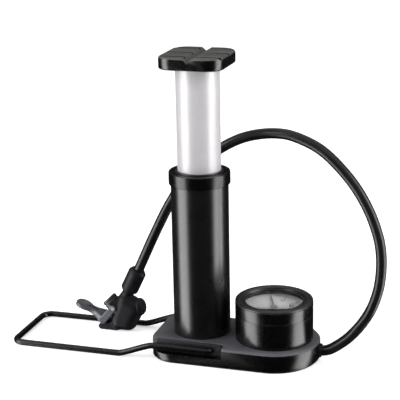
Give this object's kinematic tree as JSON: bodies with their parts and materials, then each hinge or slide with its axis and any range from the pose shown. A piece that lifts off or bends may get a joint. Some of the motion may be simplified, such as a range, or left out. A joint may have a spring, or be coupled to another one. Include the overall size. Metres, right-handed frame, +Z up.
{
  "type": "mini pump",
  "caption": "Foot-operated mini bicycle pump: sprung pedal plunger in a black barrel, round pressure gauge, folding wire stand and a short hose ending in a lever valve head.",
  "frame": {"origin": "on the ground under the barrel's axis, with the plunger up and the wire stand lying flat", "axes": "+X from the barrel towards the gauge and the hose gland, +Z up the barrel, +Y towards the rear rail"},
  "size_m": [0.2535, 0.0613, 0.2026],
  "materials": {
    "rubber": "matt black rubber",
    "gloss_black": "glossy black moulding",
    "slate": "satin slate grey",
    "matt_black": "matt black moulding",
    "steel": "bright zinc-plated steel",
    "barrel_black": "gloss black paint on steel",
    "brass": "satin brass",
    "bright_tube": "polished bright tube",
    "pedal_grey": "satin black moulding, greyer treads",
    "wire_black": "gloss black paint on steel wire",
    "needle_grey": "grey paint",
    "dial_white": "white enamel",
    "clear": "clear window",
    "charcoal": "satin charcoal moulding",
    "lever_slate": "satin slate moulding"
  },
  "bodies": {
    "base": {"sole": "rubber", "base_housing": "gloss_black", "top_plate": "slate", "cheek_front": "matt_black", "cheek_rear": "matt_black", "base_screws": "steel", "barrel": "barrel_black", "barrel_seal": "rubber", "collar": "gloss_black", "guide_bush": "matt_black", "valve_seat": "brass", "poppet_spring": "steel", "gauge_case": "gloss_black", "gauge_stem": "brass", "bourdon_tube": "brass", "movement_frame": "brass", "dial": "dial_white", "gauge_shell": "gloss_black", "gauge_lens": "clear", "gauge_rim": "matt_black", "hose_gland": "matt_black", "hose": "rubber", "hose_ferrule": "charcoal", "valve_head": "charcoal", "head_cap": "charcoal", "valve_port": "charcoal", "port_grommet": "rubber"},
    "plunger": {"plunger_tube": "bright_tube", "piston": "matt_black", "piston_seal": "rubber", "return_spring": "steel", "pedal_plug": "matt_black", "pedal_screw": "steel", "pedal": "pedal_grey"},
    "stand": {"wire_stand": "wire_black", "stand_pins": "wire_black"},
    "lever": {"thumb_lever": "lever_slate", "lever_pins": "steel"},
    "poppet": {"valve_poppet": "rubber"},
    "sector": {"sector_gear": "brass"},
    "needle": {"gauge_needle": "needle_grey"}
  },
  "joints": [
    {"name": "plunger_slide", "type": "slide", "parent": "base", "child": "plunger", "axis": [0, 0, -1], "range_m": [0, 0.062], "stiffness_N_per_m": 800, "springref_m": -0.05, "deforming": ["return_spring"]},
    {"name": "stand_hinge", "type": "hinge", "parent": "base", "child": "stand", "pos_m": [0.013, 0, 0.01], "axis": [0, 1, 0], "range_deg": [0, 74]},
    {"name": "lever_hinge", "type": "hinge", "parent": "base", "child": "lever", "pos_m": [-0.06933, 0.0175, 0.01733], "axis": [0, 1, 0], "range_deg": [0, 75]},
    {"name": "poppet_slide", "type": "slide", "parent": "base", "child": "poppet", "axis": [0, 0, -1], "range_m": [0, 0.001], "stiffness_N_per_m": 100, "springref_m": -0.002, "deforming": ["poppet_spring"]},
    {"name": "sector_turn", "type": "hinge", "parent": "base", "child": "sector", "pos_m": [0.05688, -0.01191, 0.026], "axis": [0, 0, 1], "range_deg": [0, 60]},
    {"name": "needle_turn", "type": "hinge", "parent": "base", "child": "needle", "pos_m": [0.05, 0, 0.026], "axis": [0, 0, -1], "range_deg": [0, 270]}
  ],
  "couplings": [
    {"joint": "needle_turn", "follows": "sector_turn", "ratio": 4.5}
  ]
}
